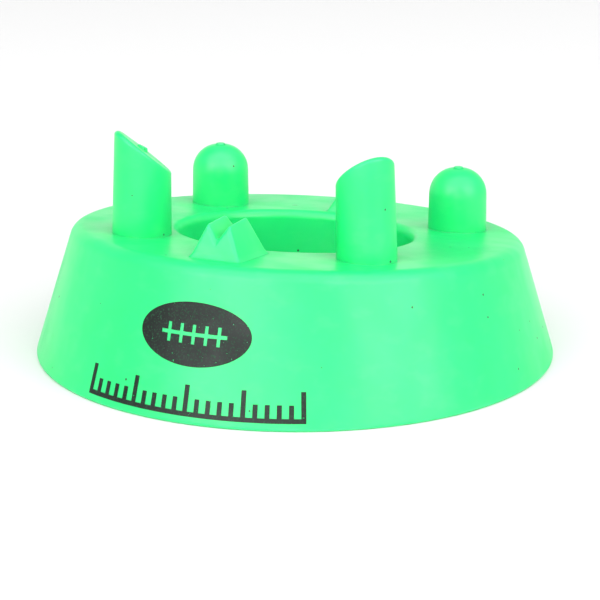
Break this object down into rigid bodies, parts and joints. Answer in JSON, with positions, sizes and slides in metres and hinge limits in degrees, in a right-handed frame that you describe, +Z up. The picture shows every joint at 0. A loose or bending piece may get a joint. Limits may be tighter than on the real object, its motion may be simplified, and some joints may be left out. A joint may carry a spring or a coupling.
{
  "type": "rugby kicking tee",
  "caption": "Low hollow rubber cone with an open well, tall slanted and low domed prongs that hold a rugby ball on end, and notch and post sights.",
  "frame": {"origin": "centre of the foot ring, on the ground", "axes": "+Z up; -Y towards the target, the side with the tall prongs and the notch sight; +Y towards the kicker"},
  "size_m": [0.1494, 0.1494, 0.0676],
  "materials": {
    "tee_rubber": "gloss",
    "print_ink": "satin"
  },
  "bodies": {
    "base": {"skirt": "tee_rubber", "deck": "tee_rubber", "well_tube": "tee_rubber", "underside_webs": "tee_rubber", "tall_root_left": "tee_rubber", "tall_root_right": "tee_rubber", "low_root_left": "tee_rubber", "low_root_right": "tee_rubber", "notch_sight": "tee_rubber", "post_sight": "tee_rubber", "printed_mark": "print_ink"},
    "tall_left": {"tall_prong_left": "tee_rubber"},
    "tall_right": {"tall_prong_right": "tee_rubber"},
    "low_left": {"low_prong_left": "tee_rubber"},
    "low_right": {"low_prong_right": "tee_rubber"}
  },
  "joints": [
    {"name": "tall_left_flex", "type": "hinge", "parent": "base", "child": "tall_left", "pos_m": [-0.03392, -0.03033, 0.04189], "axis": [1, 0, 0], "range_deg": [-15, 40], "stiffness_Nm_per_rad": 3, "deforming": ["tall_root_left"]},
    {"name": "tall_right_flex", "type": "hinge", "parent": "base", "child": "tall_right", "pos_m": [0.03392, -0.03033, 0.04189], "axis": [1, 0, 0], "range_deg": [-15, 40], "stiffness_Nm_per_rad": 3, "deforming": ["tall_root_right"]},
    {"name": "low_left_flex", "type": "hinge", "parent": "base", "child": "low_left", "pos_m": [-0.03813, 0.0311, 0.03624], "axis": [1, 0, 0], "range_deg": [-15, 25], "stiffness_Nm_per_rad": 4, "deforming": ["low_root_left"]},
    {"name": "low_right_flex", "type": "hinge", "parent": "base", "child": "low_right", "pos_m": [0.03813, 0.0311, 0.03624], "axis": [1, 0, 0], "range_deg": [-15, 25], "stiffness_Nm_per_rad": 4, "deforming": ["low_root_right"]}
  ]
}
